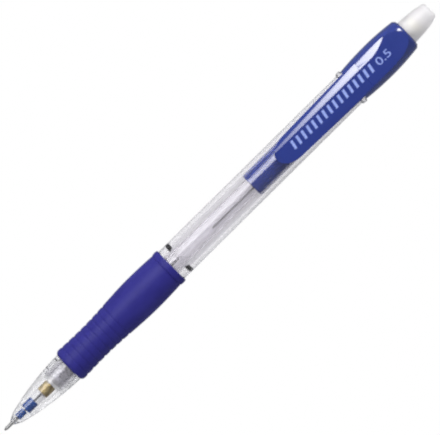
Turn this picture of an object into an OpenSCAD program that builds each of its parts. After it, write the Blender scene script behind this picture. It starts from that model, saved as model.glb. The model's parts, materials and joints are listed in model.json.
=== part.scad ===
// Push-button mechanical pencil with a clear barrel, a ribbed rubber grip and a one-piece blue head and clip.
// Every sub-part is drawn upright, with the point of the lead at the origin and Z running back towards the
// button, and lay() then lays the whole pencil along X with its clip uppermost. Stations along the pencil,
// whose names end in _z, are measured back from the point of the lead. Lengths are in millimetres.

/* [Overall] */
// Length from the point of the lead to the end of the button
overall_length = 145; // [143:0.5:148]
// Length of the clear barrel behind the grip, as far as the blue head
window_length = 62; // [58:0.2:64]

/* [Lead] */
// True diameter of a nominal 0.5 lead
lead_d = 0.56; // [0.5:0.01:0.57]
// Length of a new lead
lead_length = 60; // [50:1:60]
// How much of the lead in use has been written away
lead_used = 1.4; // [0:0.2:3]
// How far the lead stands out of its pipe
lead_exposed = 0.5; // [0.2:0.1:0.8]
// Outside diameter of the steel lead pipe
pipe_d = 0.88; // [0.86:0.01:0.92]

/* [Nose] */
// Length of steel pipe standing out of the nose
pipe_exposed = 2; // [1.5:0.1:2.2]
// Outside radius of the nose where it meets the grip
nose_r = 4.05; // [4:0.01:4.1]
// Radius of the long arc that forms the side of the nose
nose_arc_r = 75; // [72:1:80]
// Pitch of the screw thread that holds the nose to the barrel
thread_pitch = 0.6; // [0.58:0.01:0.64]

/* [Grip] */
// Length of the rubber grip
grip_length = 35; // [34:0.2:36]
// Radius of the grip at its swell
grip_r = 5.15; // [5.1:0.01:5.3]
// Radius of the grip at its waist
grip_waist_r = 4.45; // [4.3:0.01:4.5]
// Radius of the grip at its front edge
grip_front_r = 4.72; // [4.6:0.01:4.8]
// Distance from one finger groove to the next
groove_pitch = 1.96; // [1.8:0.02:2]
// Number of finger grooves
groove_count = 8; // [4:1:8]

/* [Barrel] */
// Outside radius of the clear barrel
barrel_r = 4.5; // [4.45:0.01:4.6]
// Bore radius of the clear barrel behind its inner step
barrel_bore_r = 3.4; // [3.38:0.01:3.5]

/* [Head and clip] */
// Greatest radius of the blue head
head_r = 4.98; // [4.9:0.01:5.1]
// Length of the blue sleeve that plugs into the barrel
plug_length = 34.6; // [30:0.2:36]
// Length of the clip in front of its root
clip_length = 28.8; // [27:0.2:31]
// Half the width of the clip at its root
clip_root_half_w = 3.95; // [3.85:0.05:4.05]
// Half the width of the clip near its free end
clip_tip_half_w = 3.25; // [3.1:0.05:3.4]
// Distance from the clip's middle plane to the crease of its broad bevel
bevel_crease = 1.65; // [1.5:0.05:1.8]
// Slope of the clip's broad bevel, in degrees
bevel_slope = 26; // [24:1:28]
// Thickness of the clip
clip_t = 1.5; // [1.4:0.05:1.6]
// Gap between the clip and the barrel
clip_gap = 1.05; // [1:0.05:1.2]

/* [Mechanism] */
// Outside radius of the lead tube
tube_r = 2.25; // [2.2:0.01:2.3]
// Bore radius of the lead tube
tube_bore_r = 1.75; // [1.7:0.01:1.8]
// Wire diameter of the return spring
spring_wire_d = 0.34; // [0.3:0.01:0.36]
// Number of coils in the return spring
spring_coils = 20; // [16:1:22]
// Outside radius of the brass clutch ring
ring_r = 1.6; // [1.55:0.01:1.62]
// How far the button can be pressed
press_travel = 2; // [1.6:0.1:2]
// Radius of the button where it leaves the head
cap_r = 3.2; // [3.16:0.01:3.24]

/* [Hidden] */

round_fn = 96;         // above 12, so that every lathe form is a true round
arc_steps = 14;        // steps in each long arc of a profile
thread_fn = 24;        // steps in one turn of a thread
slip = 0.02;           // gap of a piece that slides or turns in another
lead_r = lead_d / 2;
pipe_r = pipe_d / 2;
pipe_bore_r = lead_r + slip;

// stations of the nose
pipe_z = lead_exposed;
nose_z = pipe_z + pipe_exposed;
nose_chamfer_z = nose_z + 1.85;  // where the blunt front cone meets the long arc
nose_front_r = 0.62;
pipe_end_z = nose_z + 1.9;
pipe_seat_r = pipe_r + 0.03;     // the pipe widens slightly towards its rear end, to press into the nose
retainer_z = nose_z + 2;
retainer_step_z = nose_z + 4.6;
retainer_end_z = nose_z + 7.8;
retainer_front_r = 0.91;
retainer_rear_r = 1.42;
retainer_gap = 0.04;
chuck_z = nose_z + 10;           // front of the closed jaws
ring_z = chuck_z + 0.4;
ring_length = 3;
ring_bore_r = 1;
ring_mouth_r = 1.19;
ring_edge = 0.15;
ring_travel = 0.35 * press_travel;
ring_stop_z = ring_z - ring_travel - 0.05;
seat_z = ring_z + ring_length + 0.05;
seat_flange_t = 0.85;
seat_flange_r = 2.7;
seat_bore_r = 1.3;
spigot_z = seat_z + seat_flange_t;
nose_end_z = nose_z + 19.3;      // rear face of the nose, against the grip
nose_crown_z = nose_end_z + 1.57; // where the long arc would run level

// screw thread between nose and barrel
male_root_r = 2.92;
male_crest_r = 3.25;
female_crest_r = 3;
female_root_r = 3.38;
male_base_half = 0.19;           // half widths of the ridge and of the groove along the pencil
male_crest_half = 0.05;
female_mouth_half = 0.23;
female_root_half = 0.08;
thread_z = spigot_z + 1;
thread_turns = 6;
socket_turns = 9;                // the groove starts a turn early and runs out of the mouth
thread_run_in = 0.03;            // height of a ridge where it starts

// barrel and grip
grip_z = nose_end_z + 0.05;
grip_end_z = grip_z + grip_length;
grip_seat_r = 3.6;               // barrel radius under the grip
barrel_end_z = grip_end_z + window_length;
spigot_bore_r = 2.3;
front_bore_r = 2.9;
bore_step_z = grip_end_z + 2;
bore_step_end_z = bore_step_z + 1.2;
rim_r = 4.95;
rim_length = 1.2;
grip_bead_length = 1.75;         // rounded bead round the rear edge of the grip
grip_bead_r = 5.08;
grip_bead_rise = 0.23;
grip_edge = 1.1;                 // rounding of the grip's front edge
groove_r = 0.55;
groove_depth = 0.14;

// head and clip
head_z = barrel_end_z + 0.05;
head_end_z = overall_length - 8.1;
head_crown_z = head_z + 8.7;     // widest station of the head
head_front_r = 4.55;
head_rear_r = 4.4;
plug_z = barrel_end_z - plug_length;
plug_r = barrel_bore_r - 0.05;
plug_bore_r = 2.75;
cap_bore_r = cap_r + 0.13;
cap_bore_z = head_end_z - 8.4;
hinge_z = head_z + 2.7;          // line on which the clip bends
clip_z = hinge_z - clip_length;
clip_under = barrel_r + clip_gap;
clip_over = clip_under + clip_t;
hinge_x = clip_under + clip_t / 2;
knuckle_r = clip_t / 2 + 0.05;
edge_break = 0.4;                // small bevel on the clip's other side
bevel_rim_w = 0.45;              // steep outer facet of the broad bevel, for its rounded edge
bevel_rim_h = 0.45;
clip_taper = atan((clip_root_half_w - clip_tip_half_w) / clip_length);
clip_round_length = 5;
bead_z = clip_z + 3.4;           // round bead under the clip's free end
bead_r = 1.6;
bead_clear = 0.06;               // gap between bead and barrel at rest
root_z = hinge_z + 0.3;          // front of the clip's root, which rises out of the head
root_fall_z = head_z + 6.6;      // where the top of the root starts to curve down
root_round_z = head_end_z - 6.9; // where its sides start to curve in
root_end_z = head_end_z - 0.4;
root_end_x = 4.54;
root_mid_half_w = 3.5;

// mechanism
jaw_bore_r = lead_r + 0.01;
jaw_neck_r = 0.78;
jaw_head_r = 1.1;
jaw_slit = 10;                   // angle left open between two jaws, in degrees
jaw_root_z = chuck_z + 9;
jaw_root_gap = 0.03;
stem_r = 1.1;
stem_bore_r = 0.4;
stem_end_z = jaw_root_z + 11.5;
spring_z = spigot_z + 0.8;
connector_z = spring_z + 8.4;    // front of the connector's sleeve, inside the spring
flange_z = spring_z + 12.9;      // connector flange that the spring pushes on
flange_t = 1;
tube_z = flange_z + flange_t;
spring_mid_r = 1.87;
tube_end_z = overall_length - 6.8;
tube_flare_z = tube_end_z - 12;
flare_r = 2.55;
eraser_r = 2;
eraser_z = tube_end_z - 7.7;
eraser_end_z = tube_end_z + 2.3;
cap_z = overall_length - 13.5;
cap_bore_in_r = 2.6;
cap_recess_r = 2.2;              // bore of the button round the eraser
cap_front_t = 1.3;               // thickness of the button's end wall
cap_mouth_z = head_end_z + 0.6;  // where the button starts to narrow
cap_corner = 0.8;                // rounding round the button's end
cap_turn = 14;                   // slope of the button's side where that rounding starts, in degrees
cap_turn_z = overall_length - cap_corner * (1 - sin(cap_turn));
cap_fall = (cap_turn_z - cap_mouth_z) / 2 * tan(cap_turn);
spare_lead_z = grip_end_z + 13.5;
spare_lead_side = 0.65;          // how far the loose lead lies to one side of the pencil's mid plane

// Radius of the nose at station z on its long arc.
function nose_arc(z) =
    nose_r - sqrt(pow(nose_arc_r, 2) - pow(nose_crown_z - nose_end_z, 2))
    + sqrt(pow(nose_arc_r, 2) - pow(nose_crown_z - z, 2));

// Smooth step from 0 to 1.
function ease(t) = t * t * (3 - 2 * t);

// Radius of the grip at station z, from its front edge through its waist to its swell and rear end.
function grip_at(z) =
    let (waist = grip_z + 9, swell = grip_z + 25, rear = grip_end_z - grip_bead_length)
    z < waist ? grip_waist_r + (grip_front_r - grip_waist_r) * pow((waist - z) / (waist - grip_z), 2)
    : z < swell ? grip_waist_r + (grip_r - grip_waist_r) * ease((z - waist) / (swell - waist))
    : grip_r - 0.27 * pow((z - swell) / (rear - swell), 2);

// Radius of the head at station z, which swells to head_crown_z and draws in again.
function head_at(z) =
    z < head_crown_z
    ? head_r - (head_r - head_front_r) * pow((head_crown_z - z) / (head_crown_z - head_z), 2)
    : head_r - (head_r - head_rear_r) * pow((z - head_crown_z) / (head_end_z - 0.6 - head_crown_z), 2);

// Radius of the button at station z of its narrowing side.
function cap_at(z) = cap_r - cap_fall * pow((z - cap_mouth_z) / (cap_turn_z - cap_mouth_z), 2);

// Evenly spaced values between two, n steps from the first to the last.
function steps(from, to, n) = [for (i = [0 : n]) from + (to - from) * i / n];

// Half the width of the clip at station z of its round free end.
function clip_half(z) =
    let (slope = (clip_root_half_w - clip_tip_half_w) / clip_length)
    let (side = clip_tip_half_w + slope * (z - clip_z))
    side * sqrt(max(0, 1 - pow((clip_z + clip_round_length - z) / clip_round_length, 2)));

// Height of the top of the clip's root at station z, which curves down towards the end of the head.
function root_top(z) =
    clip_over - (clip_over - root_end_x) * pow(max(0, z - root_fall_z) / (root_end_z - root_fall_z), 2);

// Half the width of the clip's root at station z, which curves in to a round end.
function root_half(z) =
    z < root_round_z
    ? clip_root_half_w + (root_mid_half_w - clip_root_half_w) * (z - hinge_z) / (root_round_z - hinge_z)
    : root_mid_half_w * sqrt(max(0, 1 - pow((z - root_round_z) / (root_end_z - root_round_z), 2)));

// Points of one cross-section of a swept ridge, ring i of the sweep.
function thread_ring(i, z, inner_r, outer_r, inner_half, outer_half, turns) =
    let (
        turn = i / thread_fn,
        fade = min(1, 3 * min(turn, turns - turn)),
        crest = inner_r + thread_run_in + (outer_r - inner_r - thread_run_in) * fade,
        a = 360 * turn,
        mid = z + turn * thread_pitch
    )
    [for (p = [[inner_r, -inner_half], [crest, -outer_half], [crest, outer_half], [inner_r, inner_half]])
        [p[0] * cos(a), p[0] * sin(a), mid + p[1]]];

// Lays the upright pencil along X, with its clip uppermost and its grip on the plane z = 0.
module lay() {
    translate([-overall_length / 2, 0, grip_r]) rotate(a = 180, v = [1, 0, 1]) children();
}

// A turned form from its half outline of [radius, station] points.
module lathe(outline) {
    rotate_extrude($fn = round_fn) polygon(outline);
}

// A straight round bar between two stations.
module bar(r, from, to) {
    translate([0, 0, from]) cylinder(r = r, h = to - from, $fn = round_fn);
}

// A helical ridge that fades in and out, for a thread or for the groove that it runs in.
module thread(z, inner_r, outer_r, inner_half, outer_half, turns) {
    rings = thread_fn * turns;
    sides = 4;
    points = [for (i = [0 : rings]) each thread_ring(i, z, inner_r, outer_r, inner_half, outer_half, turns)];
    skin = [for (i = [0 : rings - 1]) for (k = [0 : sides - 1])
        let (a = i * sides + k, b = i * sides + (k + 1) % sides)
        each [[a, b, b + sides], [a, b + sides, a + sides]]];
    first = [[3, 2, 1], [3, 1, 0]];
    last = [for (f = [[0, 1, 2], [0, 2, 3]]) [for (k = f) rings * sides + k]];
    polyhedron(points = points, faces = concat(skin, first, last));
}

// Clear nose: steel pipe in front, stepped bores for retainer, clutch ring and seat, and a threaded socket.
module nose_cone() {
    front_bore = retainer_front_r + retainer_gap;
    rear_bore = retainer_rear_r + retainer_gap;
    color([0.93, 0.94, 0.96, 0.35]) difference() {
        lathe(concat(
            [[pipe_r, nose_z], [nose_front_r, nose_z]],
            [for (z = steps(nose_chamfer_z, nose_end_z, arc_steps)) [nose_arc(z), z]],
            [
                [female_crest_r, nose_end_z], [female_crest_r, spigot_z - 0.05],
                [seat_flange_r + 0.05, spigot_z - 0.05], [seat_flange_r + 0.05, seat_z - 0.05],
                [ring_r + 0.06, seat_z - 0.05], [ring_r + 0.06, ring_stop_z],
                [rear_bore, ring_stop_z], [rear_bore, retainer_step_z + 0.15],
                [front_bore, retainer_step_z - 0.1], [front_bore, retainer_z - 0.05],
                [pipe_seat_r, retainer_z - 0.05], [pipe_seat_r, pipe_end_z]
            ]
        ));
        thread(thread_z - thread_pitch, female_crest_r - 0.06, female_root_r,
            female_mouth_half + 0.02, female_root_half, socket_turns);
    }
}

// Thin steel pipe that the lead runs out of.
module lead_pipe() {
    color([0.62, 0.63, 0.65]) lathe([
        [pipe_bore_r, pipe_z], [pipe_r - 0.05, pipe_z], [pipe_r, pipe_z + 0.06],
        [pipe_r, nose_z], [pipe_seat_r, pipe_end_z], [pipe_bore_r, pipe_end_z]
    ]);
}

// Blue elastic bush whose fine hole keeps the lead from falling back while the jaws are open.
module lead_retainer() {
    color([0.16, 0.3, 0.62]) lathe([
        [jaw_bore_r, retainer_z], [retainer_front_r - 0.12, retainer_z],
        [retainer_front_r, retainer_z + 0.12], [retainer_front_r, retainer_step_z],
        [retainer_rear_r, retainer_step_z + 0.25],
        [retainer_rear_r, retainer_end_z - 0.1], [retainer_rear_r - 0.1, retainer_end_z],
        [0.7, retainer_end_z], [jaw_bore_r, retainer_end_z - 0.6]
    ]);
}

// Clear flanged bush, held between nose and barrel: the clutch ring stops on it and the spring pushes on it.
module chuck_seat() {
    color([0.93, 0.94, 0.96, 0.35]) lathe([
        [seat_bore_r, seat_z], [seat_flange_r, seat_z], [seat_flange_r, spigot_z],
        [spigot_bore_r - slip, spigot_z], [spigot_bore_r - slip, spring_z - slip],
        [seat_bore_r, spring_z - slip]
    ]);
}

// Brass ring that holds the jaws shut while their cone is drawn into its mouth.
module chuck_ring() {
    back = ring_z + ring_length;
    color([0.72, 0.58, 0.28]) lathe([
        [ring_mouth_r - 0.07, ring_z + 0.1], [ring_mouth_r, ring_z], [ring_r - ring_edge, ring_z],
        [ring_r, ring_z + ring_edge], [ring_r, back - ring_edge], [ring_r - ring_edge, back],
        [ring_bore_r + 0.1, back], [ring_bore_r, back - 0.1], [ring_bore_r, ring_z + 0.51]
    ]);
}

// One plated brass jaw of the chuck, a third of a split cone on a springy neck.
module chuck_jaw(k) {
    color([0.74, 0.72, 0.69]) rotate([0, 0, 120 * (k - 1) + jaw_slit / 2])
        rotate_extrude(angle = 120 - jaw_slit, $fn = round_fn) polygon([
            [jaw_bore_r, chuck_z + 0.15], [jaw_bore_r + 0.15, chuck_z], [0.8, chuck_z],
            [jaw_head_r, chuck_z + 0.3], [jaw_head_r, chuck_z + 0.5], [jaw_neck_r, chuck_z + 1.6],
            [jaw_neck_r, jaw_root_z], [jaw_bore_r + 0.08, jaw_root_z], [jaw_bore_r + 0.08, chuck_z + 2.6],
            [jaw_bore_r, chuck_z + 2.2]
        ]);
}

// Plated brass stem that the three jaws grow from, pressed into the connector.
module chuck_stem() {
    color([0.74, 0.72, 0.69]) lathe([
        [stem_bore_r, jaw_root_z + jaw_root_gap], [jaw_neck_r, jaw_root_z + jaw_root_gap],
        [jaw_neck_r, jaw_root_z + 1], [stem_r, jaw_root_z + 1.6], [stem_r, stem_end_z],
        [stem_bore_r, stem_end_z]
    ]);
}

// Points of ring i of the spring's wire.
function wire_ring(i, rings, sides) =
    let (
        t = i / rings,
        // the two end coils lie almost closed
        rise = t < 0.08 ? 0.35 * t : t > 0.92 ? 1 - 0.35 * (1 - t) : 0.028 + (t - 0.08) * (0.944 / 0.84),
        free_length = flange_z - spring_z - spring_wire_d - 2 * slip,
        mid = spring_z + slip + spring_wire_d / 2 + rise * free_length,
        a = 360 * spring_coils * t
    )
    [for (k = [0 : sides - 1])
        let (b = 360 * k / sides, r = spring_mid_r + spring_wire_d / 2 * cos(b))
        [r * cos(a), r * sin(a), mid + spring_wire_d / 2 * sin(b)]];

// Steel compression spring round the chuck, between the seat and the connector's flange.
module return_spring() {
    sides = 8;
    rings = spring_coils * 16;
    points = [for (i = [0 : rings]) each wire_ring(i, rings, sides)];
    skin = [for (i = [0 : rings - 1]) for (k = [0 : sides - 1])
        let (a = i * sides + k, b = i * sides + (k + 1) % sides)
        each [[a, a + sides, b + sides], [a, b + sides, b]]];
    first = [for (k = [1 : sides - 2]) [0, k, k + 1]];
    last = [for (k = [1 : sides - 2]) [for (j = [0, k + 1, k]) rings * sides + j]];
    color([0.7, 0.71, 0.73]) polyhedron(points = points, faces = concat(skin, first, last));
}

// White connector that joins the chuck to the lead tube and funnels leads into the chuck.
module tube_connector() {
    color([0.92, 0.92, 0.9]) lathe([
        [stem_r, connector_z], [1.45, connector_z], [1.55, connector_z + 0.2], [1.55, flange_z],
        [tube_r, flange_z], [tube_r, tube_z], [tube_bore_r, tube_z], [tube_bore_r, tube_z + 4],
        [tube_bore_r - 0.15, tube_z + 4.4], [stem_bore_r + 0.05, stem_end_z], [stem_r, stem_end_z]
    ]);
}

// Clear magazine tube for spare leads, flared at its rear end to take the eraser.
module lead_tube() {
    color([0.9, 0.91, 0.93, 0.4]) lathe([
        [tube_bore_r, tube_z], [tube_r, tube_z], [tube_r, tube_flare_z], [flare_r, tube_flare_z + 1],
        [flare_r, tube_end_z - 0.15], [flare_r - 0.15, tube_end_z], [eraser_r + slip, tube_end_z],
        [eraser_r + slip, eraser_z - 0.3], [tube_bore_r, eraser_z - 0.5]
    ]);
}

// The lead in use, through pipe, retainer and chuck.
module lead() {
    color([0.16, 0.16, 0.17]) lathe([
        [0, 0], [lead_r - 0.06, 0], [lead_r, 0.06], [lead_r, lead_length - lead_used],
        [0, lead_length - lead_used]
    ]);
}

// A loose spare lead, lying on the floor of the lead tube.
module spare_lead() {
    floor_r = tube_bore_r - lead_r - slip;
    drop = sqrt(pow(floor_r, 2) - pow(spare_lead_side, 2));
    color([0.16, 0.16, 0.17]) translate([-drop, spare_lead_side, 0])
        bar(lead_r, spare_lead_z, spare_lead_z + lead_length);
}

// Clear barrel: threaded spigot, reduced seat for the grip, thick collar with an inner step, and a rear rim.
module barrel() {
    rim_z = barrel_end_z - rim_length;
    color([0.93, 0.94, 0.96, 0.35]) union() {
        lathe([
            [spigot_bore_r, spigot_z], [male_root_r, spigot_z], [male_root_r, nose_end_z + 0.02],
            [grip_seat_r, nose_end_z + 0.02], [grip_seat_r, grip_end_z], [barrel_r - 0.1, grip_end_z],
            [barrel_r, grip_end_z + 0.1], [barrel_r, rim_z - 0.3],
            [rim_r - 0.1, rim_z], [rim_r, rim_z + 0.15],
            [rim_r, barrel_end_z - 0.2], [rim_r - 0.15, barrel_end_z], [barrel_bore_r, barrel_end_z],
            [barrel_bore_r, bore_step_end_z], [front_bore_r, bore_step_z],
            [front_bore_r, nose_end_z + 0.8], [spigot_bore_r, nose_end_z + 0.5]
        ]);
        thread(thread_z, male_root_r - 0.05, male_crest_r, male_base_half, male_crest_half, thread_turns);
    }
}

// Blue rubber grip with a waist, finger grooves towards its front and a bead round its rear edge.
module grip() {
    rear = grip_end_z - grip_bead_length;
    bead_mid = (rear + grip_end_z) / 2;
    bead_half = grip_bead_length / 2 * 0.98;
    bead_sweep = 70;
    body_z = grip_z + grip_edge;
    color([0.19, 0.18, 0.5]) difference() {
        lathe(concat(
            [[grip_seat_r + slip, grip_z]],
            [for (t = steps(0, 90, 6))
                [grip_at(body_z) - grip_edge * 0.75 * (1 - sin(t)), grip_z + grip_edge * (1 - cos(t))]],
            [for (z = steps(body_z, rear - 0.15, 3 * arc_steps)) if (z > body_z) [grip_at(z), z]],
            [[grip_at(rear) - 0.12, rear]],
            [for (t = steps(-bead_sweep, bead_sweep, 8)) [
                grip_bead_r - grip_bead_rise * (1 - cos(t)),
                bead_mid + bead_half * sin(t) / sin(bead_sweep)
            ]],
            [[4.6, grip_end_z], [grip_seat_r + slip, grip_end_z]]
        ));
        for (i = [0 : groove_count - 1])
            let (z = grip_z + 2.2 + i * groove_pitch)
            rotate_extrude($fn = round_fn) translate([grip_at(z) + groove_r - groove_depth, z])
                circle(r = groove_r, $fn = 32);
    }
}

// Height of the edge between the broad bevel and its steep rim.
function bevel_foot() = clip_over - (clip_root_half_w - bevel_rim_w - bevel_crease) * tan(bevel_slope);

// Cross-section shared by the clip and its root: a flat face with a broad bevel on one side, which ends in a
// steep rim, and a small bevel on the other.
module clip_section() {
    polygon([
        [0, -clip_root_half_w], [bevel_foot() - bevel_rim_h, -clip_root_half_w],
        [bevel_foot(), bevel_rim_w - clip_root_half_w], [clip_over, -bevel_crease],
        [clip_over, clip_root_half_w - edge_break], [clip_over - edge_break, clip_root_half_w],
        [0, clip_root_half_w]
    ]);
}

// The side of the steep rim's plane on which the tapering clip lies.
module inside_rim() {
    reach = 40;
    translate([bevel_foot() - bevel_rim_h, -clip_root_half_w, hinge_z]) rotate([clip_taper, 0, 0])
        rotate([0, 0, atan(bevel_rim_w / bevel_rim_h)]) translate([-reach, 0, -reach]) cube(2 * reach);
}

// A form as tall as wanted whose plan, seen from above the clip, is a list of [half width, station] points.
module plan(halves) {
    count = len(halves);
    rotate([0, 90, 0]) rotate([0, 0, 90]) linear_extrude(20) polygon(concat(
        halves,
        [for (i = [count - 1 : -1 : 0]) if (halves[i][0] > 0) [-halves[i][0], halves[i][1]]]
    ));
}

// The raised root of the clip on the head.
module clip_root() {
    tops = steps(root_fall_z, root_end_z, arc_steps);
    sides = concat([root_z, root_round_z], [for (t = steps(6, 90, arc_steps))
        root_round_z + (root_end_z - root_round_z) * sin(t)]);
    intersection() {
        translate([0, 0, root_z]) linear_extrude(head_end_z - root_z) clip_section();
        rotate([90, 0, 0]) linear_extrude(12, center = true) polygon(concat(
            [[2, root_z], [clip_over, root_z]],
            [for (z = tops) [root_top(z), z]],
            [[2, root_end_z]]
        ));
        plan([for (z = sides) [root_half(z), z]]);
    }
}

// Blue head: a long plug inside the barrel, a round body that closes the barrel, and the clip's raised root.
module head() {
    color([0.16, 0.22, 0.58]) difference() {
        union() {
            lathe(concat(
                [[plug_bore_r, plug_z], [plug_r - 0.1, plug_z], [plug_r, plug_z + 0.15], [plug_r, head_z],
                    [head_front_r - 0.1, head_z]],
                [for (z = steps(head_z + 0.1, head_end_z - 0.6, arc_steps)) [head_at(z), z]],
                [[head_rear_r - 0.55, head_end_z], [plug_bore_r, head_end_z]]
            ));
            clip_root();
        }
        lathe([
            [0, head_z], [plug_bore_r, head_z], [plug_bore_r, cap_bore_z], [cap_bore_r, cap_bore_z + 0.4],
            [cap_bore_r, head_end_z + 1], [0, head_end_z + 1]
        ]);
        translate([hinge_x, 0, hinge_z]) rotate([90, 0, 0])
            cylinder(r = knuckle_r + 0.06, h = 12, center = true, $fn = 48);
    }
}

// Clip arm: a bevelled tongue with a round bead under its free end and a round rear end in the head's pocket.
module clip() {
    color([0.16, 0.22, 0.58]) intersection() {
        rotate([90, 0, 0]) union() {
            linear_extrude(12, center = true) polygon([
                [clip_under, hinge_z], [clip_under, bead_z], [clip_under + 0.35, clip_z],
                [clip_over - 0.35, clip_z], [clip_over, clip_z + 1.2], [clip_over, hinge_z]
            ]);
            translate([hinge_x, hinge_z, 0]) cylinder(r = knuckle_r, h = 12, center = true, $fn = 48);
            translate([barrel_r + bead_clear + bead_r, bead_z, 0])
                cylinder(r = bead_r, h = 3.6, center = true, $fn = 48);
        }
        translate([0, 0, clip_z - 1]) linear_extrude(clip_length + 3) clip_section();
        inside_rim();
        plan(concat(
            [for (z = steps(clip_z, clip_z + clip_round_length, 16)) [clip_half(z), z]],
            [[clip_root_half_w, hinge_z], [clip_root_half_w, hinge_z + 2]]
        ));
    }
}

// White eraser, held in the flared end of the lead tube.
module eraser() {
    color([0.97, 0.97, 0.95]) lathe([
        [0, eraser_z], [eraser_r, eraser_z], [eraser_r, eraser_end_z - 0.2], [eraser_r - 0.2, eraser_end_z],
        [0, eraser_end_z]
    ]);
}

// Clear button: a narrowing cap over the eraser that grips the lead tube and is pressed to feed the lead.
module push_cap() {
    end = overall_length;
    inner = end - cap_front_t;
    side = steps(cap_mouth_z, cap_turn_z, arc_steps);
    corner = steps(cap_turn, 90, 6);
    corner_r = cap_at(cap_turn_z) - cap_corner * cos(cap_turn);
    color([0.94, 0.94, 0.94, 0.5]) lathe(concat(
        [[cap_bore_in_r, cap_z], [cap_r, cap_z]],
        [for (z = side) [cap_at(z), z]],
        [for (t = corner) if (t > cap_turn)
            [corner_r + cap_corner * cos(t), end - cap_corner * (1 - sin(t))]],
        [
            [0, end], [0, inner], [cap_recess_r - 0.7, inner], [cap_recess_r - 0.25, inner - 0.5],
            [cap_recess_r, tube_end_z + 1], [cap_recess_r, tube_end_z + 0.3],
            [cap_bore_in_r, tube_end_z + 0.1]
        ]
    ));
}

lay() nose_cone();
lay() lead_pipe();
lay() lead_retainer();
lay() chuck_seat();
lay() chuck_ring();
lay() chuck_jaw(1);  // chuck_jaw_1
lay() chuck_jaw(2);  // chuck_jaw_2
lay() chuck_jaw(3);  // chuck_jaw_3
lay() chuck_stem();
lay() return_spring();
lay() tube_connector();
lay() lead_tube();
lay() lead();
lay() spare_lead();
lay() barrel();
lay() grip();
lay() head();
lay() clip();
lay() eraser();
lay() push_cap();
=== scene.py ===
"""Looks of the push-button mechanical pencil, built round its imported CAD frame.

The pencil lies along X with its point towards -X and its clip uppermost. Lengths on the pencil are written
in millimetres and turned into metres by MM. Lengths in the studio are in metres. Turned pieces take their
outline from the CAD node that they replace, get rounded corners and are revolved finely. The others keep the
CAD shape and get their edges broken.
"""

import json
import math

import bmesh
import bpy
import numpy as np
from mathutils import Matrix, Vector
from mathutils.bvhtree import BVHTree


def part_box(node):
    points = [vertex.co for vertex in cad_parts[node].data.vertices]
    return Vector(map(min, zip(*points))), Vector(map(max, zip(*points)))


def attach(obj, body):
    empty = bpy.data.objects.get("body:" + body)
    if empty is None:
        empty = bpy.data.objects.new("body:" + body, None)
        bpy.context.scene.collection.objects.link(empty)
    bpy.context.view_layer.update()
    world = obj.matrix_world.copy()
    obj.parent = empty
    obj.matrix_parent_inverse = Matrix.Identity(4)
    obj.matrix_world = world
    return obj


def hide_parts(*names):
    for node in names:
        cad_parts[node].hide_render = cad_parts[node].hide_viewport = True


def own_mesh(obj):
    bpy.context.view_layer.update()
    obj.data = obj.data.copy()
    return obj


MM = 0.001
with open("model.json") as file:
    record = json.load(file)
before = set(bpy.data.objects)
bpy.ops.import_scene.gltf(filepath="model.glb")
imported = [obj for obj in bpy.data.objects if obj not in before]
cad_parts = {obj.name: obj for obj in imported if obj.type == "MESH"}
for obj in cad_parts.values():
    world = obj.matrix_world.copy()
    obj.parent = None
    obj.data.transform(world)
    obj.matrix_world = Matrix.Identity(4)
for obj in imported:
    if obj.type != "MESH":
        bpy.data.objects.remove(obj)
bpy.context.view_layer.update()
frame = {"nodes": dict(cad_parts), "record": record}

barrel_low, barrel_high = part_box("barrel")
AXIS_Z = (barrel_low.z + barrel_high.z) / 2
BODY_OF = {node: body for body, nodes in frame["record"]["behaviour"]["bodies"].items() for node in nodes}

# The screw thread between nose and barrel. Its first turn starts THREAD_START behind the spigot's front face.
PITCH = 0.6 * MM
THREAD_START = 1.0 * MM
MALE_TURNS = 6
FEMALE_TURNS = 9
RINGS_PER_TURN = 16


# ---------------------------------------------------------------- node materials

# noise mostly stays between these two, so they are where a colour or a number reaches its limits
NOISE_LOW, NOISE_HIGH = 0.3, 0.7


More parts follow.
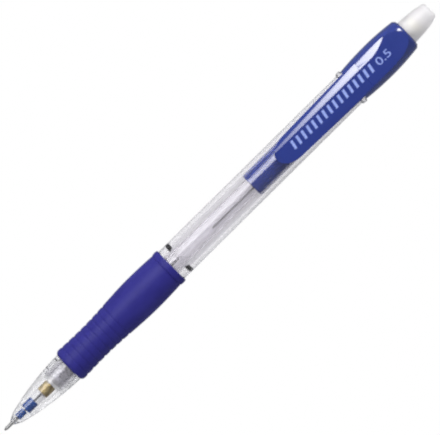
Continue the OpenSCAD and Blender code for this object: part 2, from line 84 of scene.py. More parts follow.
class Material:
    """A Principled material whose colour, roughness and bump vary over the object's own coordinates."""

    def __init__(self, name, **sockets):
        self.mat = bpy.data.materials.new(name)
        self.mat.use_nodes = True
        self.tree = self.mat.node_tree
        self.shader = self.tree.nodes["Principled BSDF"]
        self.coords = self.tree.nodes.new("ShaderNodeTexCoord").outputs["Object"]
        self.last_normal = None
        for socket, value in sockets.items():
            socket_name = socket.replace("_", " ").title().replace("Ior", "IOR")
            self.shader.inputs[socket_name].default_value = value

    def node(self, kind, **settings):
        """A new node, with its sockets or properties set by name."""
        made = self.tree.nodes.new("ShaderNode" + kind)
        for name, value in settings.items():
            if name in made.inputs:
                made.inputs[name].default_value = value
            else:
                setattr(made, name, value)
        return made

    def link(self, output, socket):
        """Joins an output to an input socket."""
        self.tree.links.new(output, socket)

    def noise(self, size_mm, stretch=(1, 1, 1), detail=3.0):
        """Noise with features of about size_mm, drawn out along the axes by stretch."""
        mapping = self.node("Mapping", Scale=[1 / (size_mm * MM * s) for s in stretch])
        self.link(self.coords, mapping.inputs["Vector"])
        noise = self.node("TexNoise", Scale=1.0, Detail=detail, Roughness=0.5)
        self.link(mapping.outputs["Vector"], noise.inputs["Vector"])
        return noise.outputs["Fac"]

    def rings(self, pitch_mm, distortion):
        """Bands round the pencil's axis, as a lathe or a mould's polishing leaves."""
        mapping = self.node("Mapping", Scale=(1 / (pitch_mm * MM * 2 * math.pi),) * 3)
        self.link(self.coords, mapping.inputs["Vector"])
        wave = self.node(
            "TexWave",
            wave_type="BANDS",
            bands_direction="X",
            Scale=math.pi,
            Distortion=distortion,
            Detail=2.0,
        )
        self.link(mapping.outputs["Vector"], wave.inputs["Vector"])
        return wave.outputs["Fac"]

    def colour(self, fac, low, high, at=(NOISE_LOW, NOISE_HIGH)):
        """Drives the base colour between two colours, which it reaches at two values of fac."""
        ramp = self.node("ValToRGB")
        for element, position, reached in zip(ramp.color_ramp.elements, at, (low, high)):
            element.position = position
            element.color = (*reached, 1)
        self.link(fac, ramp.inputs["Fac"])
        self.link(ramp.outputs["Color"], self.shader.inputs["Base Color"])

    def span(self, socket, fac, low, high):
        """Drives a socket between two values."""
        limits = {"From Min": NOISE_LOW, "From Max": NOISE_HIGH, "To Min": low, "To Max": high}
        reach = self.node("MapRange", **limits)
        self.link(fac, reach.inputs["Value"])
        self.link(reach.outputs["Result"], self.shader.inputs[socket])

    def bump(self, fac, height_mm, strength):
        """Adds a bump to those already there."""
        bump = self.node("Bump", Strength=strength, Distance=height_mm * MM)
        self.link(fac, bump.inputs["Height"])
        if self.last_normal:
            self.link(self.last_normal, bump.inputs["Normal"])
        self.last_normal = bump.outputs["Normal"]
        self.link(self.last_normal, self.shader.inputs["Normal"])

    def instead_of_shader(self, kind_of_ray, other):
        """Shows one kind of ray another shader."""
        mix = self.node("MixShader")
        self.link(self.node("LightPath").outputs[kind_of_ray], mix.inputs["Fac"])
        self.link(self.shader.outputs["BSDF"], mix.inputs[1])
        self.link(other, mix.inputs[2])
        self.link(mix.outputs["Shader"], self.tree.nodes["Material Output"].inputs["Surface"])

    def let_light_through(self, share):
        """Lets lamps reach what lies behind a clear wall, which bent light alone would leave dark."""
        clear = self.node("BsdfTransparent", Color=(share, share, share, 1))
        self.instead_of_shader("Is Shadow Ray", clear.outputs["BSDF"])


def make_materials():
    """All materials, by the short names that the pieces call them."""
    made = {}

    # clear moulded styrene: faint flow lines along the pencil and a slight cool tint
    m = Material("clear_styrene", transmission_weight=0.985, ior=1.49, specular_ior_level=0.5)
    flow = m.noise(1.2, stretch=(30, 1, 1))
    m.colour(flow, (0.76, 0.75, 0.775), (0.8, 0.79, 0.815))
    m.span("Roughness", m.noise(2.5, stretch=(8, 1, 1)), 0.0, 0.02)
    m.bump(flow, 0.002, 0.1)
    m.let_light_through(0.92)
    made["clear"] = m.mat

    # the nose is the same plastic, with turned polishing rings from its mould
    m = Material("clear_nose", transmission_weight=0.985, ior=1.49, specular_ior_level=0.5)
    m.colour(m.noise(2.0), (0.78, 0.78, 0.795), (0.82, 0.82, 0.835))
    m.span("Roughness", m.noise(2.5), 0.0, 0.03)
    m.bump(m.rings(0.9, 1.0), 0.001, 0.15)
    m.let_light_through(0.92)
    made["clear_nose"] = m.mat

    # the spring's seat is the same plastic with a spark-eroded, translucent skin
    m = Material("frosted_seat", transmission_weight=0.85, ior=1.49)
    m.colour(m.noise(1.0), (0.88, 0.88, 0.88), (0.94, 0.94, 0.94))
    m.span("Roughness", m.noise(0.2), 0.24, 0.36)
    m.bump(m.noise(0.12), 0.003, 0.3)
    m.let_light_through(0.8)
    made["seat"] = m.mat

    # natural polypropylene lead tube, slightly hazy
    m = Material("hazy_tube", transmission_weight=0.91, ior=1.49)
    haze = m.noise(1.5, stretch=(16, 1, 1))
    m.colour(haze, (0.92, 0.91, 0.93), (0.95, 0.94, 0.96))
    m.span("Roughness", haze, 0.05, 0.12)
    m.let_light_through(0.88)
    made["tube"] = m.mat

    # frosted button: milky, with a fine spark-eroded grain
    m = Material("frosted_button", transmission_weight=0.72, ior=1.49)
    grain = m.noise(0.12, detail=4.0)
    m.colour(m.noise(2.5), (0.78, 0.77, 0.78), (0.84, 0.83, 0.84))
    m.span("Roughness", grain, 0.4, 0.54)
    m.bump(grain, 0.01, 0.4)
    m.let_light_through(0.75)
    made["frosted"] = m.mat

    # blue gloss plastic of head, plug and clip, under a bright moulded skin
    m = Material(
        "blue_gloss", ior=1.52, specular_ior_level=0.9, coat_weight=1.0, coat_roughness=0.03, coat_ior=1.7
    )
    m.colour(m.noise(5.0, stretch=(3, 1, 1)), (0.015, 0.032, 0.21), (0.019, 0.038, 0.24))
    m.span("Roughness", m.noise(0.5), 0.12, 0.2)
    m.bump(m.noise(2.2, stretch=(2, 1, 1)), 0.004, 0.3)
    made["blue"] = m.mat

    # soft blue rubber: a matte skin, uneven in colour, with a fine grain and a shallow waviness
    m = Material("blue_rubber", ior=1.45, specular_ior_level=0.22)
    m.colour(m.noise(3.0, stretch=(2, 1, 1), detail=5.0), (0.022, 0.02, 0.18), (0.029, 0.027, 0.215))
    m.span("Roughness", m.noise(0.25, detail=5.0), 0.4, 0.52)
    m.bump(m.noise(0.14, detail=5.0), 0.01, 0.4)
    m.bump(m.noise(1.6), 0.015, 0.2)
    made["rubber"] = m.mat

    # blue elastomer of the lead retainer, smoother than the grip
    m = Material("retainer_elastomer", ior=1.45, specular_ior_level=0.6)
    m.colour(m.noise(1.0), (0.006, 0.04, 0.19), (0.01, 0.062, 0.26))
    m.span("Roughness", m.noise(0.3), 0.12, 0.22)
    m.bump(m.noise(0.8), 0.002, 0.2)
    made["retainer"] = m.mat

    # white moulding of the connector between chuck and tube
    m = Material("white_moulding", ior=1.48)
    m.colour(m.noise(1.5), (0.74, 0.74, 0.7), (0.84, 0.84, 0.81))
    m.span("Roughness", m.noise(0.3), 0.34, 0.48)
    m.bump(m.noise(0.3), 0.006, 0.4)
    made["white"] = m.mat

    # white vinyl eraser with a chalky surface
    m = Material("eraser_vinyl", ior=1.45, specular_ior_level=0.3)
    m.colour(m.noise(0.7, detail=6.0), (0.78, 0.76, 0.62), (0.88, 0.87, 0.74))
    m.span("Roughness", m.noise(0.2), 0.6, 0.85)
    m.bump(m.noise(0.15, detail=5.0), 0.02, 0.6)
    made["eraser"] = m.mat

    # brass with a streak of tarnish here and there
    m = Material("turned_brass", metallic=1.0)
    streaks = m.noise(0.7, stretch=(2, 1, 1), detail=5.0)
    m.colour(streaks, (0.3, 0.21, 0.07), (0.58, 0.46, 0.22), at=(0.4, 0.6))
    m.span("Roughness", m.noise(0.25, stretch=(0.3, 1, 1)), 0.46, 0.62)
    m.bump(m.rings(0.07, 1.5), 0.003, 0.4)
    made["brass"] = m.mat

    # The next three metals are only part metallic: their values were tuned to the photo's brightness.

    # plated chuck: paler and greyer than its brass ring
    m = Material("plated_chuck", metallic=0.45)
    m.colour(m.noise(0.9), (0.78, 0.76, 0.79), (0.88, 0.86, 0.89))
    m.span("Roughness", m.noise(0.25), 0.34, 0.48)
    m.bump(m.rings(0.09, 1.5), 0.002, 0.4)
    made["plated"] = m.mat

    # drawn steel of the lead pipe, with its grain along the pencil
    m = Material("drawn_steel", metallic=0.6)
    m.colour(m.noise(0.8, stretch=(6, 1, 1)), (0.33, 0.33, 0.33), (0.42, 0.42, 0.42))
    m.span("Roughness", m.noise(0.2, stretch=(8, 1, 1)), 0.42, 0.56)
    m.bump(m.noise(0.06, stretch=(12, 1, 1)), 0.002, 0.4)
    made["steel"] = m.mat

    # pale wire of the return spring
    m = Material("spring_wire", metallic=0.3)
    m.colour(m.noise(0.6), (0.87, 0.86, 0.9), (0.95, 0.94, 0.98))
    m.span("Roughness", m.noise(0.1), 0.3, 0.44)
    m.bump(m.noise(0.05), 0.002, 0.3)
    made["spring"] = m.mat

    # graphite lead: dark, with a burnished metallic sheen
    m = Material("graphite_lead", metallic=0.35, specular_ior_level=0.6)
    m.colour(m.noise(0.3, stretch=(5, 1, 1), detail=5.0), (0.12, 0.117, 0.12), (0.2, 0.196, 0.2))
    m.span("Roughness", m.noise(0.15), 0.35, 0.55)
    m.bump(m.noise(0.05, stretch=(6, 1, 1)), 0.004, 0.5)
    made["graphite"] = m.mat

    # printed ink, pale blue, slightly uneven
    m = Material("pale_blue_ink", ior=1.5, specular_ior_level=0.4)
    m.colour(m.noise(0.3, detail=5.0), (0.23, 0.3, 0.66), (0.29, 0.37, 0.76))
    m.span("Roughness", m.noise(0.2), 0.35, 0.5)
    m.bump(m.noise(0.12), 0.004, 0.4)
    made["ink"] = m.mat

    # the floor is a glowing grey table to every ray but the camera's, which sees plain white
    m = Material("studio_floor", specular_ior_level=0.0, emission_strength=0.65)
    m.shader.inputs["Emission Color"].default_value = (1, 1, 1, 1)
    m.colour(m.noise(60.0), (0.38, 0.38, 0.38), (0.42, 0.42, 0.42))
    m.span("Roughness", m.noise(5.0), 0.8, 0.95)
    m.instead_of_shader("Is Camera Ray", m.node("Emission", Strength=1.0).outputs["Emission"])
    made["floor"] = m.mat
    return made


MATERIAL = make_materials()


# ---------------------------------------------------------------- shapes


def place(piece, node, material):
    """Links a new piece in place of a CAD node: same body, its own material, and the node hidden."""
    bpy.context.collection.objects.link(piece)
    piece.data.materials.clear()
    piece.data.materials.append(MATERIAL[material])
    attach(piece, BODY_OF[node])
    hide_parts(node)


def chain_from(v):
    """The vertices along a chain of edges, to its other end or all the way round."""
    chain, edge = [v], None
    while True:
        onward = [e for e in v.link_edges if e is not edge]
        if not onward:
            return chain
        edge = onward[0]
        v = edge.other_vert(v)
        if v is chain[0]:
            return chain
        chain.append(v)


def outline(node):
    """Half outline of a turned CAD node: a list of (x, r), and True if it closes on itself."""
    weld, on_plane = 1e-7, 1e-9
    bm = bmesh.new()
    bm.from_mesh(frame["nodes"][node].data)
    bmesh.ops.remove_doubles(bm, verts=bm.verts, dist=weld)
    # the half plane of the cut stands a degree off the vertical, so that it misses the facets' own edges
    tilt = math.radians(1)
    out = Vector((0, -math.sin(tilt), math.cos(tilt)))
    side = out.cross(Vector((1, 0, 0)))
    centre = Vector((0, 0, AXIS_Z))
    everything = bm.verts[:] + bm.edges[:] + bm.faces[:]
    bmesh.ops.bisect_plane(
        bm, geom=everything, dist=on_plane, plane_co=centre, plane_no=side, clear_inner=True, clear_outer=True
    )
    section = bm.verts[:] + bm.edges[:]
    bmesh.ops.bisect_plane(bm, geom=section, dist=on_plane, plane_co=centre, plane_no=out, clear_inner=True)
    bmesh.ops.remove_doubles(bm, verts=bm.verts, dist=weld)

    ends = [v for v in bm.verts if len(v.link_edges) == 1]
    closed = not ends
    chain = chain_from(bm.verts[:][0] if closed else ends[0])
    points = [(v.co.x, max(0.0, (v.co - centre).dot(out))) for v in chain]
    bm.free()
    if not closed:
        points[0] = (points[0][0], 0.0)
        points[-1] = (points[-1][0], 0.0)
    return straighten(points, closed), closed


def straighten(points, closed):
    """Leaves out points that lie on a straight line between their neighbours."""
    least_sine = 0.004
    kept = []
    count = len(points)
    for i, p in enumerate(points):
        if not closed and i in (0, count - 1):
            kept.append(p)
            continue
        a, b = np.array(points[i - 1]), np.array(points[(i + 1) % count])
        u, w = np.array(p) - a, b - np.array(p)
        sine = abs(u[0] * w[1] - u[1] * w[0]) / (np.linalg.norm(u) * np.linalg.norm(w) + 1e-18)
        if sine > least_sine:
            kept.append(p)
    return kept


def soften(points, closed, radius, least=14):
    """Rounds each corner of an outline that turns by more than least degrees."""
    largest_share = 0.4  # of each side of a corner, so that its neighbours keep room for theirs
    fewest_steps, degrees_a_step = 3, 25
    count = len(points)
    rounded = []
    for i, p in enumerate(points):
        p = np.array(p)
        if not closed and i in (0, count - 1):
            rounded.append(tuple(p))
            continue
        a, b = np.array(points[i - 1]) - p, np.array(points[(i + 1) % count]) - p
        la, lb = np.linalg.norm(a), np.linalg.norm(b)
        a, b = a / la, b / lb
        turn = math.pi - math.acos(max(-1, min(1, float(a @ b))))
        if math.degrees(turn) < least:
            rounded.append(tuple(p))
            continue
        back = min(radius * math.tan(turn / 2), largest_share * la, largest_share * lb)
        start, end = p + a * back, p + b * back
        steps = fewest_steps + int(math.degrees(turn) / degrees_a_step)
        for k in range(steps + 1):
            t = k / steps
            rounded.append(tuple((1 - t) ** 2 * start + 2 * t * (1 - t) * p + t * t * end))
    return rounded


def on_thread_wall(r, thread):
    """Whether a radius belongs to the wall that carries a thread."""
    return np.abs(r - thread["wall_r"]) < 0.03 * MM


def add_thread_rings(points, thread):
    """Adds rings along the wall that carries a thread, close enough together to draw it."""
    shortest = 2 * MM
    dense = []
    for i, p in enumerate(points):
        q = points[(i + 1) % len(points)]
        dense.append(p)
        if on_thread_wall(p[1], thread) and on_thread_wall(q[1], thread) and abs(p[0] - q[0]) > shortest:
            parts = int(abs(q[0] - p[0]) / (PITCH / RINGS_PER_TURN))
            dense += [p + (q - p) * k / parts for k in range(1, parts)]
    return np.array(dense)


def thread_height(x, theta, thread):
    """Height, from 0 to 1, of a helical ridge at station x and angle theta. It fades over a third of a turn
    at each end."""
    turn = (x - thread["start"]) / PITCH
    d = np.abs((turn - theta / (2 * math.pi) + 0.5) % 1.0 - 0.5) * PITCH
    ridge = np.clip((thread["half_base"] - d) / (thread["half_base"] - thread["half_crest"]), 0, 1)
    return ridge * np.clip(3 * np.minimum(turn, thread["turns"] - turn), 0, 1)


def revolved_normals(grid, ring_rows, closed):
    """Normals of a grid of revolved points. The walls on the two sides of a ring count by their length, so
    that long walls stay straight."""
    around = np.roll(grid, -1, axis=1) - np.roll(grid, 1, axis=1)
    along = np.roll(grid, -1, axis=0) - grid
    wall = np.cross(around, along)
    if not closed:
        wall[-1] = 0
    norm = np.roll(wall, 1, axis=0) + wall
    normals = [n for i in ring_rows for n in norm[i]]
    if not closed:
        normals += [wall[0].sum(axis=0), wall[-2].sum(axis=0)]
    normals = np.array(normals)
    return normals / (np.linalg.norm(normals, axis=1, keepdims=True) + 1e-30)


def signed_volume(mesh):
    """The volume inside a mesh, below zero if its faces look inwards."""
    bm = bmesh.new()
    bm.from_mesh(mesh)
    volume = bm.calc_volume(signed=True)
    bm.free()
    return volume


def revolve(name, points, closed, steps=160, thread=None):
    """A mesh of revolution about the pencil's axis, with exact smooth normals. A thread is a helical ridge on
    its wall, or a groove where the wall is a bore's."""
    points = np.array(points, float)
    if thread:
        points = add_thread_rings(points, thread)
    # all outlines run the same way round
    x, r = points[:, 0], points[:, 1]
    area = np.sum(x * np.roll(r, -1) - np.roll(x, -1) * r)
    if area > 0:
        points = points[::-1]
    x, r = points[:, :1], points[:, 1:]
    theta = np.arange(steps) * 2 * math.pi / steps
    stations = np.repeat(x, steps, axis=1)
    radius = np.repeat(r, steps, axis=1)
    if thread:
        carries = on_thread_wall(r, thread) & (x > thread["low"]) & (x < thread["high"])
        height = thread_height(stations, theta[None, :], thread) * thread["height"]
        radius = radius + np.where(carries, height, 0)
    grid = np.stack([stations, -radius * np.sin(theta), AXIS_Z + radius * np.cos(theta)], axis=2)

    # rings of quads, and for an open outline a pole at each end
    rows = len(points)
    ring_rows = list(range(rows)) if closed else list(range(1, rows - 1))
    verts = [tuple(v) for i in ring_rows for v in grid[i]]
    faces = []
    pairs = [(k, k + 1) for k in range(len(ring_rows) - 1)]
    if closed:
        pairs.append((len(ring_rows) - 1, 0))
    for a, b in pairs:
        for j in range(steps):
            j2 = (j + 1) % steps
            faces.append((a * steps + j, a * steps + j2, b * steps + j2, b * steps + j))
    if not closed:
        top, bottom = len(verts), len(verts) + 1
        verts += [tuple(grid[0][0]), tuple(grid[-1][0])]
        last_ring = (len(ring_rows) - 1) * steps
        for j in range(steps):
            j2 = (j + 1) % steps
            faces.append((top, j2, j))
            faces.append((last_ring + j, last_ring + j2, bottom))
    mesh = bpy.data.meshes.new(name)
    mesh.from_pydata(verts, [], faces)
    mesh.polygons.foreach_set("use_smooth", [True] * len(mesh.polygons))
    mesh.update()

    # the normals follow the faces' own winding, and then both are turned outwards
    normals = revolved_normals(grid, ring_rows, closed)
    sample = len(faces) // 3
    if np.array(mesh.polygons[sample].normal) @ normals[faces[sample][0]] < 0:
        normals = -normals
    if signed_volume(mesh) <= 0:
        mesh.flip_normals()
        normals = -normals
    mesh.normals_split_custom_set_from_vertices([tuple(n) for n in normals])
    return bpy.data.objects.new(name, mesh)


def turned(node, material, radius_mm=0.05, steps=160, least=14):
    """A finely revolved piece that stands for a turned CAD node."""
    points, closed = outline(node)
    piece = revolve(node + "_turned", soften(points, closed, radius_mm * MM, least), closed, steps)
    place(piece, node, material)


def without_teeth(points, low, high, root, tip):
    """An outline without its thread's teeth: between two stations, points from the root to the tip go."""
    clear_of_root, over_tip = 0.012 * MM, 0.05 * MM

    def tooth(x, r):
        return low < x < high and root + clear_of_root < r < tip + over_tip

    return [(x, r) for x, r in points if not tooth(x, r)]


def broken_edges(node, material, width_mm=0.05, angle=28, seam_x=None):
    """The CAD shape with its edges slightly rounded, but for those in the plane where two pieces meet."""
    weld, flat_degrees, in_plane = 2e-7, 0.3, 0.08 * MM
    mesh = frame["nodes"][node].data.copy()
    bm = bmesh.new()
    bm.from_mesh(mesh)
    bmesh.ops.remove_doubles(bm, verts=bm.verts, dist=weld)
    bmesh.ops.dissolve_limit(bm, angle_limit=math.radians(flat_degrees), verts=bm.verts, edges=bm.edges)
    weight = bm.edges.layers.float.new("bevel_weight_edge")
    for edge in bm.edges:
        in_seam = seam_x is not None and all(abs(v.co.x - seam_x) < in_plane for v in edge.verts)
        turns = len(edge.link_faces) == 2 and edge.calc_face_angle() > math.radians(angle)
        edge[weight] = float(turns and not in_seam)
        edge.smooth = not (turns and in_seam)
    bm.to_mesh(mesh)
    bm.free()
    mesh.polygons.foreach_set("use_smooth", [True] * len(mesh.polygons))
    piece = bpy.data.objects.new(node + "_finished", mesh)
    place(piece, node, material)
    bevel = piece.modifiers.new("edges", "BEVEL")
    bevel.width = width_mm * MM
    bevel.segments = 3
    bevel.limit_method = "WEIGHT"
    bevel.use_clamp_overlap = True
    flat = piece.modifiers.new("normals", "WEIGHTED_NORMAL")
    flat.mode = "FACE_AREA"
    flat.weight = 90
    flat.keep_sharp = True
    return piece


# ---------------------------------------------------------------- pieces

spigot_x = barrel_low.x
shoulder_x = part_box("nose_cone")[1].x
TOUCH = 1e-6

# barrel, with its male thread on the spigot, whose front is plain for a short way before the teeth
SPIGOT_PLAIN = 0.3 * MM
OVER_SPIGOT_BORE = 2.6 * MM  # only the spigot's outside has points further out than this
points, closed = outline("barrel")
plain_end = spigot_x + SPIGOT_PLAIN
root_r = min(r for x, r in points if spigot_x - TOUCH < x < plain_end and r > OVER_SPIGOT_BORE)
points = without_teeth(points, plain_end, shoulder_x - 0.05 * MM, root_r, root_r + 0.35 * MM)
points = straighten(points, closed)
male = {
    "wall_r": root_r,
    "low": spigot_x,
    "high": shoulder_x,
    "height": 0.32 * MM,
    "start": spigot_x + THREAD_START,
    "turns": MALE_TURNS,
    "half_base": 0.19 * MM,
    "half_crest": 0.05 * MM,
}
barrel = revolve("barrel_turned", soften(points, closed, 0.07 * MM), closed, thread=male)
place(barrel, "barrel", "clear")

# nose, with its female thread, cut into the socket that the spigot enters. At rest the two drawn threads
# still cross: points of the nose lie up to about 0.19 mm inside the barrel.
SOCKET_REACH = 0.12 * MM
UNDER_NOSE_SKIN = 3.2 * MM  # only the nose's inside has points further in than this there
points, closed = outline("nose_cone")
socket_r = max(r for x, r in points if abs(x - spigot_x) < SOCKET_REACH and r < UNDER_NOSE_SKIN)
points = without_teeth(points, spigot_x + 0.1 * MM, shoulder_x - 0.01 * MM, socket_r, socket_r + 0.45 * MM)
points = straighten(points, closed)
female = {
    "wall_r": socket_r,
    "low": spigot_x,
    "high": shoulder_x + TOUCH,
    "height": 0.36 * MM,
    "start": spigot_x + THREAD_START - PITCH,
    "turns": FEMALE_TURNS,
    "half_base": 0.23 * MM,
    "half_crest": 0.08 * MM,
}
nose = revolve("nose_cone_turned", soften(points, closed, 0.05 * MM), closed, thread=female)
place(nose, "nose_cone", "clear_nose")

turned("grip", "rubber", 0.12, least=20)
turned("lead_tube", "tube", 0.05)
turned("chuck_seat", "seat", 0.05)
turned("push_cap", "frosted", 0.12)
turned("lead_pipe", "steel", 0.02, steps=64)
turned("lead", "graphite", 0.03, steps=48)
turned("lead_retainer", "retainer", 0.06, steps=96)
turned("chuck_ring", "brass", 0.04, steps=96)
turned("tube_connector", "white", 0.08, steps=96)
turned("eraser", "eraser", 0.15, steps=96)
turned("chuck_stem", "plated", 0.04, steps=96)
for jaw in ("chuck_jaw_1", "chuck_jaw_2", "chuck_jaw_3"):
    broken_edges(jaw, "plated", 0.02)
clip_low, clip_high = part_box("clip")
broken_edges("head", "blue", 0.12, angle=14, seam_x=clip_high.x)
broken_edges("clip", "blue", 0.12, angle=14, seam_x=clip_high.x)
broken_edges("spare_lead", "graphite", 0.03)

# the spring keeps its CAD shape, unbevelled, in a mesh of its own
spring = broken_edges("return_spring", "spring", 0.0)
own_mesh(spring)


# ---------------------------------------------------------------- print on the clip and head

INK = 0.025 * MM
PRINT_Y = -1.15 * MM
BAR_COUNT = 16
BAR_PITCH = 1.745 * MM
BAR_W, BAR_H, BAR_LEAN = 0.7 * MM, 2.2 * MM, 0.4 * MM
NUMBER_W, NUMBER_H, NUMBER_GAP = 4.2 * MM, 1.95 * MM, 0.3 * MM


def surface_tree(node):
    """A tree of a CAD node's faces, for finding how high its top lies at a place."""
    mesh = frame["nodes"][node].data
    return BVHTree.FromPolygons([v.co for v in mesh.vertices], [p.vertices for p in mesh.polygons])


TOPS = [surface_tree("clip"), surface_tree("head")]


def top_at(x, y):
    """How high the clip or the head, whichever is higher, lies at a place."""
    above, down = Vector((x, y, 1)), Vector((0, 0, -1))
    hits = [tree.ray_cast(above, down)[0] for tree in TOPS]
    return max(hit.z for hit in hits if hit)


def lay_print(name, mesh, body):
    """Drops a flat form, drawn in the XY plane with its ink's thickness along Z, on the surface below it."""
    rounds, longest = 2, 0.45 * MM
    bm = bmesh.new()
    bm.from_mesh(mesh)
    bmesh.ops.triangulate(bm, faces=bm.faces[:])
    for _ in range(rounds):
        long_edges = [e for e in bm.edges if e.calc_length() > longest]
        bmesh.ops.subdivide_edges(bm, edges=long_edges, cuts=1)
        bmesh.ops.triangulate(bm, faces=bm.faces[:])
    for v in bm.verts:
        v.co.z += top_at(v.co.x, v.co.y)
    bm.to_mesh(mesh)
    bm.free()
    piece = bpy.data.objects.new(name, mesh)
    bpy.context.collection.objects.link(piece)
    mesh.materials.clear()
    mesh.materials.append(MATERIAL["ink"])
    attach(piece, body)


def slanted_bar(x, y):
    """A prism whose outline is a leaning bar with its foot's middle at x, y."""
    half = BAR_W / 2
    corners = [(-half, 0), (half, 0), (half + BAR_LEAN, BAR_H), (-half + BAR_LEAN, BAR_H)]
    verts = [(x + px, y + py, z) for z in (-0.6 * INK, INK) for px, py in corners]
    sides = [(0, 1, 5, 4), (1, 2, 6, 5), (2, 3, 7, 6), (3, 0, 4, 7)]
    mesh = bpy.data.meshes.new("bar")
    mesh.from_pydata(verts, [], [(3, 2, 1, 0), (4, 5, 6, 7)] + sides)
    return mesh


def number(text, x, y, width, height):
    """A plain number that fills a box whose lower left corner is at x, y."""
    curve = bpy.data.curves.new("number", "FONT")
    curve.body = text
    curve.extrude = INK
    drawn = bpy.data.objects.new("number", curve)
    bpy.context.collection.objects.link(drawn)
    bpy.context.view_layer.update()
    mesh = bpy.data.meshes.new_from_object(drawn.evaluated_get(bpy.context.evaluated_depsgraph_get()))
    bpy.data.objects.remove(drawn)
    points = np.array([v.co for v in mesh.vertices])
    low, high = points.min(axis=0), points.max(axis=0)
    for v in mesh.vertices:
        v.co.x = x + (v.co.x - low[0]) * width / (high[0] - low[0])
        v.co.y = y + (v.co.y - low[1]) * height / (high[1] - low[1])
    return mesh


bar_from = clip_low.x + 5.3 * MM
for k in range(BAR_COUNT):
    bar_x = bar_from + k * BAR_PITCH
    body = "clip" if bar_x < clip_high.x else "barrel"
    lay_print("print_bar_%02d" % (k + 1), slanted_bar(bar_x, PRINT_Y), body)
number_x = bar_from + BAR_COUNT * BAR_PITCH + NUMBER_GAP
lay_print("print_lead_size", number("0.5", number_x, PRINT_Y, NUMBER_W, NUMBER_H), "barrel")


# ---------------------------------------------------------------- studio

ALONG = Vector((1, 0, 0))
MIDDLE = Vector((0, 0, AXIS_Z))


def towards(degrees, distance=0.5):
    """A place over the pencil, tilted from straight up towards +Y by so many degrees."""
    t = math.radians(degrees)
    return MIDDLE + Vector((0, math.sin(t), math.cos(t))) * distance


def area_light(name, centre, target, length, width, power):
    """A softbox that lies along the pencil and looks at the target."""
    data = bpy.data.lights.new(name, "AREA")
    data.shape = "RECTANGLE"
    data.size = length
    data.size_y = width
    data.energy = power
    light = bpy.data.objects.new(name, data)
    bpy.context.collection.objects.link(light)
    back = (centre - target).normalized()
    across = back.cross(ALONG).normalized()
    pose = Matrix((ALONG, across, back)).transposed().to_4x4()
    pose.translation = centre
    light.matrix_world = pose
    return light


def fade(light, dark_x, bright_x):
    """Makes a softbox dark at one station along X and full at another, as a lamp at one end of it does."""
    light.data.use_nodes = True
    nodes, links = light.data.node_tree.nodes, light.data.node_tree.links
    spot = nodes.new("ShaderNodeNewGeometry").outputs["Position"]
    split = nodes.new("ShaderNodeSeparateXYZ")
    reach = nodes.new("ShaderNodeMapRange")
    reach.inputs["From Min"].default_value = dark_x
    reach.inputs["From Max"].default_value = bright_x
    links.new(spot, split.inputs["Vector"])
    links.new(split.outputs["X"], reach.inputs["Value"])
    links.new(reach.outputs["Result"], nodes["Emission"].inputs["Strength"])


# floor, which gloss doesn't mirror
FLOOR_HALF = 4
floor_corners = [
    (-FLOOR_HALF, -FLOOR_HALF, 0),
    (FLOOR_HALF, -FLOOR_HALF, 0),
    (FLOOR_HALF, FLOOR_HALF, 0),
    (-FLOOR_HALF, FLOOR_HALF, 0),
]
floor_mesh = bpy.data.meshes.new("floor")
floor_mesh.from_pydata(floor_corners, [], [(0, 1, 2, 3)])
floor = bpy.data.objects.new("floor", floor_mesh)
bpy.context.collection.objects.link(floor)
floor_mesh.materials.append(MATERIAL["floor"])
floor.visible_glossy = False

# lamps: the main softbox, a lower one towards the button's end, and a fill that gloss and glass don't show
area_light("softbox", towards(31), MIDDLE, length=1.3, width=0.29, power=4.0)
TO_BUTTON = Vector((0.3, 0, 0))
side_place = towards(53.5) + TO_BUTTON
side = area_light("side_softbox", side_place, MIDDLE + TO_BUTTON, length=0.6, width=0.13, power=1.75)
fade(side, dark_x=0.023, bright_x=0.096)
fill = area_light("fill_softbox", towards(-48), MIDDLE, length=1.3, width=0.3, power=0.9)
fill.visible_glossy = False
fill.visible_transmission = False

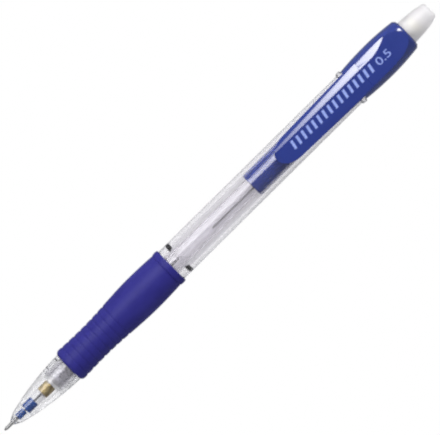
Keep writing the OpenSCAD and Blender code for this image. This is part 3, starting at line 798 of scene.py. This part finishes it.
# the room: darkest overhead, behind the camera, and paler towards the horizon
HORIZON = (0.17, 0.18, 0.2, 1)
OVERHEAD = (0.09, 0.09, 0.1, 1)
world = bpy.data.worlds.new("studio")
bpy.context.scene.world = world
world.use_nodes = True
tree = world.node_tree
background = tree.nodes["Background"]
direction = tree.nodes.new("ShaderNodeTexCoord").outputs["Generated"]
height = tree.nodes.new("ShaderNodeSeparateXYZ")
room = tree.nodes.new("ShaderNodeValToRGB")
room.color_ramp.elements[0].position = 0.0
room.color_ramp.elements[0].color = HORIZON
room.color_ramp.elements[1].position = 0.95
room.color_ramp.elements[1].color = OVERHEAD
tree.links.new(direction, height.inputs["Vector"])
tree.links.new(height.outputs["Z"], room.inputs["Fac"])
tree.links.new(room.outputs["Color"], background.inputs["Color"])
background.inputs["Strength"].default_value = 1.0

# camera: straight overhead, and rolled so that the pencil runs up to the right
ELEVATION = math.radians(90)
ROLL = math.radians(44.67)
DISTANCE = 0.9
PICTURE_WIDTH = 440
PIXELS_A_MM = 4.123
WIDTH_SEEN = PICTURE_WIDTH / PIXELS_A_MM * MM
AIM_RIGHT, AIM_UP = 0.64, 0.59
SENSOR_WIDTH = 36

back = Vector((0, math.cos(ELEVATION), math.sin(ELEVATION)))
across = back.cross(ALONG)
right = ALONG * math.cos(ROLL) - across * math.sin(ROLL)
up = ALONG * math.sin(ROLL) + across * math.cos(ROLL)
camera_data = bpy.data.cameras.new("camera")
camera_data.sensor_width = SENSOR_WIDTH
camera_data.lens = SENSOR_WIDTH * DISTANCE / WIDTH_SEEN
camera_data.clip_end = 20
camera = bpy.data.objects.new("camera", camera_data)
bpy.context.collection.objects.link(camera)
aim = MIDDLE + right * AIM_RIGHT * MM + up * AIM_UP * MM
pose = Matrix((right, up, back)).transposed().to_4x4()
pose.translation = aim + back * DISTANCE
camera.matrix_world = pose
bpy.context.scene.camera = camera
bpy.context.scene.view_settings.view_transform = "Standard"

# the many clear walls need many bounces, and the wide filter gives the photo's softness
cycles = bpy.context.scene.cycles
cycles.max_bounces = 24
cycles.transmission_bounces = 24
cycles.glossy_bounces = 12
cycles.filter_width = 2.2
